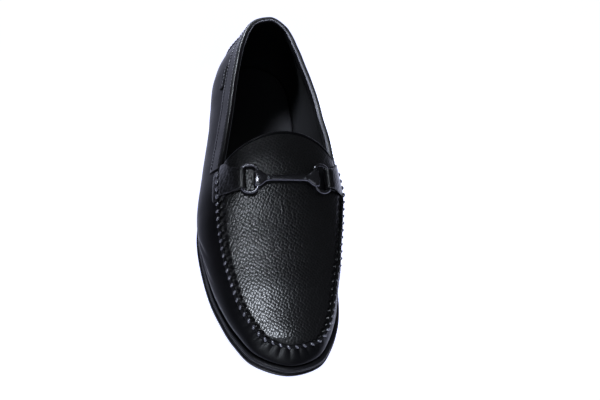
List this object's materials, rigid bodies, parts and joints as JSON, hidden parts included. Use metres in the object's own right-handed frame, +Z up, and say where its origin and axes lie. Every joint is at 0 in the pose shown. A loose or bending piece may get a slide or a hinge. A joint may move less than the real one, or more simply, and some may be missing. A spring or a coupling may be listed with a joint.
{
  "type": "bit loafer",
  "caption": "Black leather slip-on loafer for a right foot, with a hand-sewn moccasin apron, a metal bar and rings across the instep, and a low stepped rubber sole.",
  "frame": {"origin": "middle of the bounding box on the floor", "axes": "+Z up, +Y from the toe towards the heel, +X towards the medial (big toe) side"},
  "size_m": [0.104, 0.2845, 0.0833],
  "materials": {
    "smooth_leather": "satin",
    "pebbled_leather": "pebbled, satin",
    "rubber": "satin",
    "lining": "matte",
    "gunmetal": "black polished"
  },
  "bodies": {
    "root": {"outsole": "rubber", "heel": "rubber", "welt": "rubber", "insole": "lining", "upper": "smooth_leather", "apron_seam": "smooth_leather", "collar": "smooth_leather", "counter": "smooth_leather", "side_tab": "smooth_leather", "strap_lateral": "pebbled_leather", "strap_medial": "pebbled_leather", "ring_lateral": "gunmetal", "ring_medial": "gunmetal", "bit_bar": "gunmetal"}
  },
  "joints": []
}
